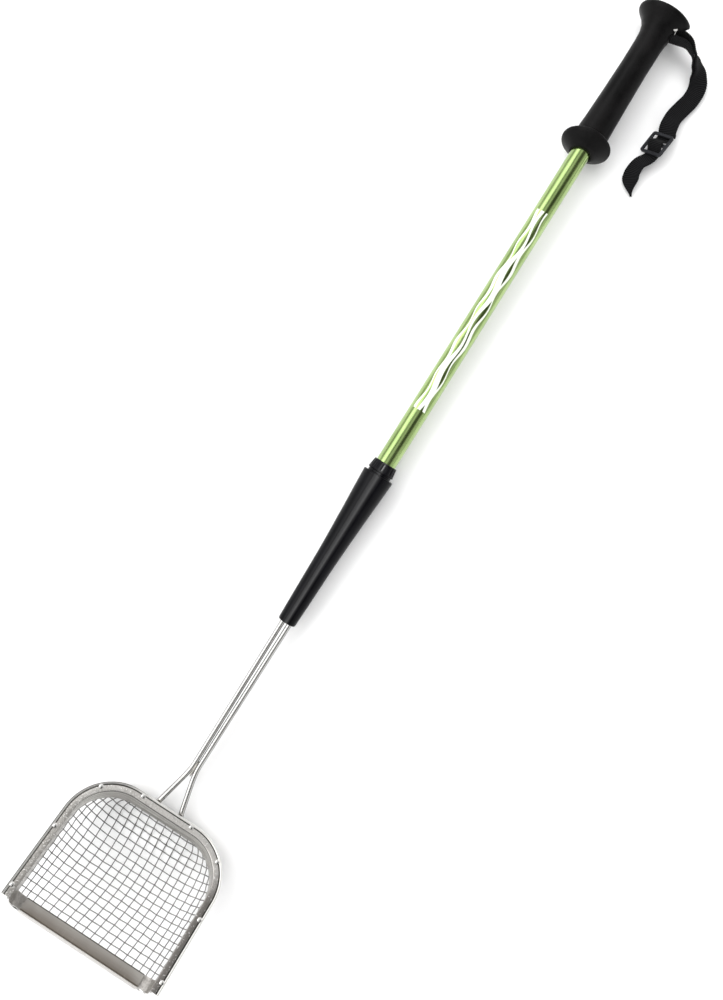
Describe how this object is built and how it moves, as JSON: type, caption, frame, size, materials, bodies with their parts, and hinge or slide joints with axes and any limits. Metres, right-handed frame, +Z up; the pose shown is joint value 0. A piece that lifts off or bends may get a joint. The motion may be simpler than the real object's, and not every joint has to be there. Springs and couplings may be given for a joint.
{
  "type": "sand scoop",
  "caption": "Long-handled beach sand scoop: a wire sifting basket in a sheet steel frame, steel rods, a tapered sleeve, a green tube and a flared black grip with a wrist strap.",
  "frame": {"origin": "on the surface it lies on, under the middle of the tool with the wrist strap left out", "axes": "+X runs along the handle from the scoop to the grip, +Z is up, out of the scoop's mouth side, and the wrist strap lies towards -Y"},
  "size_m": [0.7728, 0.128, 0.0825],
  "materials": {
    "green_aluminium": "glossy, coloured",
    "sleeve_plastic": "satin, moulded",
    "inner_plastic": "matt, moulded",
    "polished_steel": "polished",
    "brushed_steel": "brushed",
    "lip_steel": "brushed, darker",
    "wire_steel": "drawn wire, satin",
    "rubber": "satin",
    "webbing": "woven, ribbed",
    "buckle_plastic": "satin, moulded"
  },
  "bodies": {
    "tool": {"rim_frame": "brushed_steel", "lip_plate": "lip_steel", "retaining_band": "brushed_steel", "wire_basket": "wire_steel", "rivet_1": "polished_steel", "rivet_2": "polished_steel", "rivet_3": "polished_steel", "rivet_4": "polished_steel", "rivet_5": "polished_steel", "rivet_6": "polished_steel", "rivet_7": "polished_steel", "rivet_8": "polished_steel", "rod_left": "polished_steel", "rod_right": "polished_steel", "rod_socket": "inner_plastic", "cross_pin": "polished_steel", "sleeve": "sleeve_plastic", "collar": "sleeve_plastic", "tube": "green_aluminium", "tube_bung": "inner_plastic", "grip": "rubber", "grip_cap": "inner_plastic", "strap_pin": "polished_steel"},
    "strap": {"strap_loop": "webbing", "strap_tail": "webbing", "buckle": "buckle_plastic"}
  },
  "joints": [
    {"name": "strap_swing", "type": "hinge", "parent": "tool", "child": "strap", "pos_m": [0.37607, -0.0105, 0.02023], "axis": [0, 0, 1], "range_deg": [-12, 18]}
  ]
}
